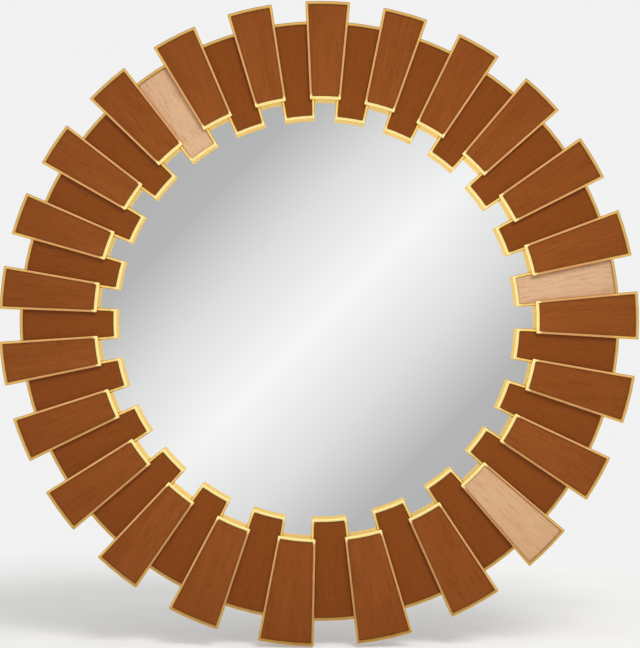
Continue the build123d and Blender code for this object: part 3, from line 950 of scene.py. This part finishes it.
frame_sizes = {
    "Width": RAY_WIDTH,
    "Length": RAY_LENGTH,
    "Corner Radius": CORNER_RADIUS,
    "Side Lip": SIDE_LIP,
    "End Lip": END_LIP,
    "Lip Thickness": LIP_THICKNESS,
    "Wall": WALL,
    "Edge Radius": EDGE_RADIUS,
    "Sheet Radius": SHEET_RADIUS,
    "Apron Lap": APRON_LAP,
    "Apron Inset": PANEL_FIT,
    "Hub": HUB,
    "Metal": brass,
}
for (kind, number), shape in rays.items():
    piece = grow(
        f"{kind}_ray_frame_{number:02d}",
        frames,
        {**frame_sizes, "Face": shape["face"], "Foot": shape["foot"], "Apron": kind == "front"},
        [((0.0, 0.0, 0.0), shape)],
    )
    settle(piece, "polished_brass", f"{kind}_frame_{number:02d}")

pale = [("front", number) for number in PALE_FRONT_RAYS]
pale += [("back", number) for number in PALE_BACK_RAYS]
panel_sets = {
    "front": [key for key in rays if key[0] == "front" and key not in pale],
    "back": [key for key in rays if key[0] == "back" and key not in pale],
    "pale": pale,
}
for kind, keys in panel_sets.items():
    wood, slot = (pale_wood, "pale_veneer") if kind == "pale" else (brown_wood, "dark_veneer")
    piece = grow(
        f"{kind}_ray_panels",
        panels,
        {
            "Inset": WALL + PANEL_FIT,
            "Lip Thickness": LIP_THICKNESS,
            "Grain Shift": GRAIN_SHIFT,
            "Hub": HUB,
            "Wood": wood,
        },
        [((0.0, 0.0, 0.0), rays[key]) for key in keys],
    )
    settle(piece, slot, f"{kind}_panels")

screw_places = []
for shape in rays.values():
    for reach in SCREW_CIRCLES:
        across, up = reach * sin(shape["angle"]), reach * cos(shape["angle"])
        screw_places.append(((HUB.x + across, BOARD_BACK, HUB.z + up), {"number": shape["number"]}))
screws = grow(
    "ray_countersunk_screws",
    screw_tree(),
    {
        "Head": SCREW_HEAD,
        "Head Height": SCREW_HEAD_HEIGHT,
        "Shank": SCREW_SHANK,
        "Length": SCREW_LENGTH,
        "Recess Span": RECESS_SPAN,
        "Recess Width": RECESS_WIDTH,
        "Recess Depth": RECESS_DEPTH,
        "Metal": zinc_plate(),
    },
    screw_places,
)
settle(screws, "zinc_plated_screw", "ray_screws")

nickel = nickel_plate()
for name, node, body, width in (
    ("folded_hanger_straps", "hanger_straps", "root", 0.3 * MM),
    ("hanger_pan_head_screws", "hanger_screws", "root", 0.0),
    ("left_hanger_wire_ring", "hanger_ring_left", "ring_left", 0.0),
    ("right_hanger_wire_ring", "hanger_ring_right", "ring_right", 0.0),
):
    piece = eased(name, node, width)
    piece.data.materials.clear()
    piece.data.materials.append(nickel)
    settle(piece, "nickel_plated_steel", node, body=body)

bumpers = eased("rubber_wall_bumpers", "wall_bumpers", 0.6 * MM)
bumpers.data.materials.clear()
bumpers.data.materials.append(bumper_rubber())
settle(bumpers, "bumper_rubber", "wall_bumpers")

dress("mirror_glass", mirror_silver())
dress("backing_board", painted_fibreboard())
dress("ray_blocks", black_stained_wood())

# Floor, a pale disc just under the lowest ray
floor_mesh = bpy.data.meshes.new("floor")
low = cad_box[0].z - FLOOR_GAP
turns = [2 * pi * step / 96 for step in range(96)]
rim = [(FLOOR_RADIUS * cos(turn), FLOOR_RADIUS * sin(turn), low) for turn in turns]
floor_mesh.from_pydata(rim, [], [tuple(range(96))])
floor = bpy.data.objects.new("floor", floor_mesh)
bpy.context.scene.collection.objects.link(floor)
floor_mesh.materials.append(floor_paint())

# Camera and light


def studio_world():
    """Plain pale room. What metal and glass show of it is one soft wide light in front, whose middle
    runs as a band from lower left to upper right, and greyer surroundings."""
    world = bpy.data.worlds.new("studio")
    world.use_nodes = True
    tree = world.node_tree
    tree.nodes.clear()
    way = add(tree, "ShaderNodeTexCoord").outputs["Generated"]
    slant = add(tree, "ShaderNodeVectorMath", {0: way, 1: BAND_SLANT}, operation="DOT_PRODUCT")
    off_band = add(tree, "ShaderNodeMath", {0: slant.outputs["Value"]}, operation="ABSOLUTE")
    band = add(tree, "ShaderNodeFloatCurve", {"Value": off_band})
    ahead = add(tree, "ShaderNodeVectorMath", {0: way, 1: (0.0, -1.0, 0.0)}, operation="DOT_PRODUCT")
    angle = add(tree, "ShaderNodeMath", {0: ahead.outputs["Value"]}, operation="ARCCOSINE")
    turn = add(tree, "ShaderNodeMath", {0: angle, 1: pi}, operation="DIVIDE")
    room = add(tree, "ShaderNodeFloatCurve", {"Value": turn})
    # Both curves run straight between their points
    for node, points in ((band, BAND_LIGHT), (room, ROOM_LIGHT)):
        curve = node.mapping.curves[0]
        curve.points[0].location = points[0]
        curve.points[1].location = points[-1]
        for place in points[1:-1]:
            curve.points.new(*place)
        for point in curve.points:
            point.handle_type = "VECTOR"
        node.mapping.use_clip = False
        node.mapping.update()
    outside = add(
        tree, "ShaderNodeMapRange", {"Value": turn, "From Min": BAND_END[0], "From Max": BAND_END[1]}
    )
    shown = add(tree, "ShaderNodeMix", {0: outside, 2: band, 3: room}, data_type="FLOAT")
    path = add(tree, "ShaderNodeLightPath")
    level = add(
        tree,
        "ShaderNodeMix",
        {0: path.outputs["Is Glossy Ray"], 2: DIFFUSE_LEVEL, 3: shown.outputs[0]},
        data_type="FLOAT",
    )
    seen = add(
        tree,
        "ShaderNodeMix",
        {0: path.outputs["Is Camera Ray"], 2: level.outputs[0], 3: BACKGROUND_LEVEL},
        data_type="FLOAT",
    )
    glow = add(
        tree, "ShaderNodeBackground", {"Color": linear(BACKGROUND_COLOUR), "Strength": seen.outputs[0]}
    )
    add(tree, "ShaderNodeOutputWorld", {"Surface": glow})
    bpy.context.scene.world = world


def softbox(name, place, size, watts):
    """Large square lamp aimed at the middle of the mirror, which metal and glass don't show."""
    lamp = bpy.data.lights.new(name, "AREA")
    lamp.size = size
    lamp.energy = watts
    stand = bpy.data.objects.new(name, lamp)
    stand.location = place
    stand.rotation_euler = (-Vector(place)).to_track_quat("-Z", "Y").to_euler()
    stand.visible_glossy = False
    bpy.context.scene.collection.objects.link(stand)


studio_world()
for name, place, size, watts in SOFTBOXES:
    softbox(name, place, size, watts)

view = bpy.data.cameras.new("camera")
view.sensor_width = SENSOR
view.lens = SENSOR * CAMERA_DISTANCE / (max(PHOTO_WIDTH, PHOTO_HEIGHT) * PIXEL)
camera = bpy.data.objects.new("camera", view)
camera.location = (
    (PHOTO_WIDTH / 2 - CENTRE_PIXEL[0]) * PIXEL,
    cad_box[0].y - CAMERA_DISTANCE,
    (CENTRE_PIXEL[1] - PHOTO_HEIGHT / 2) * PIXEL,
)
camera.rotation_euler = (pi / 2, 0.0, 0.0)
bpy.context.scene.collection.objects.link(camera)
bpy.context.scene.camera = camera
bpy.context.scene.view_settings.view_transform = "Standard"
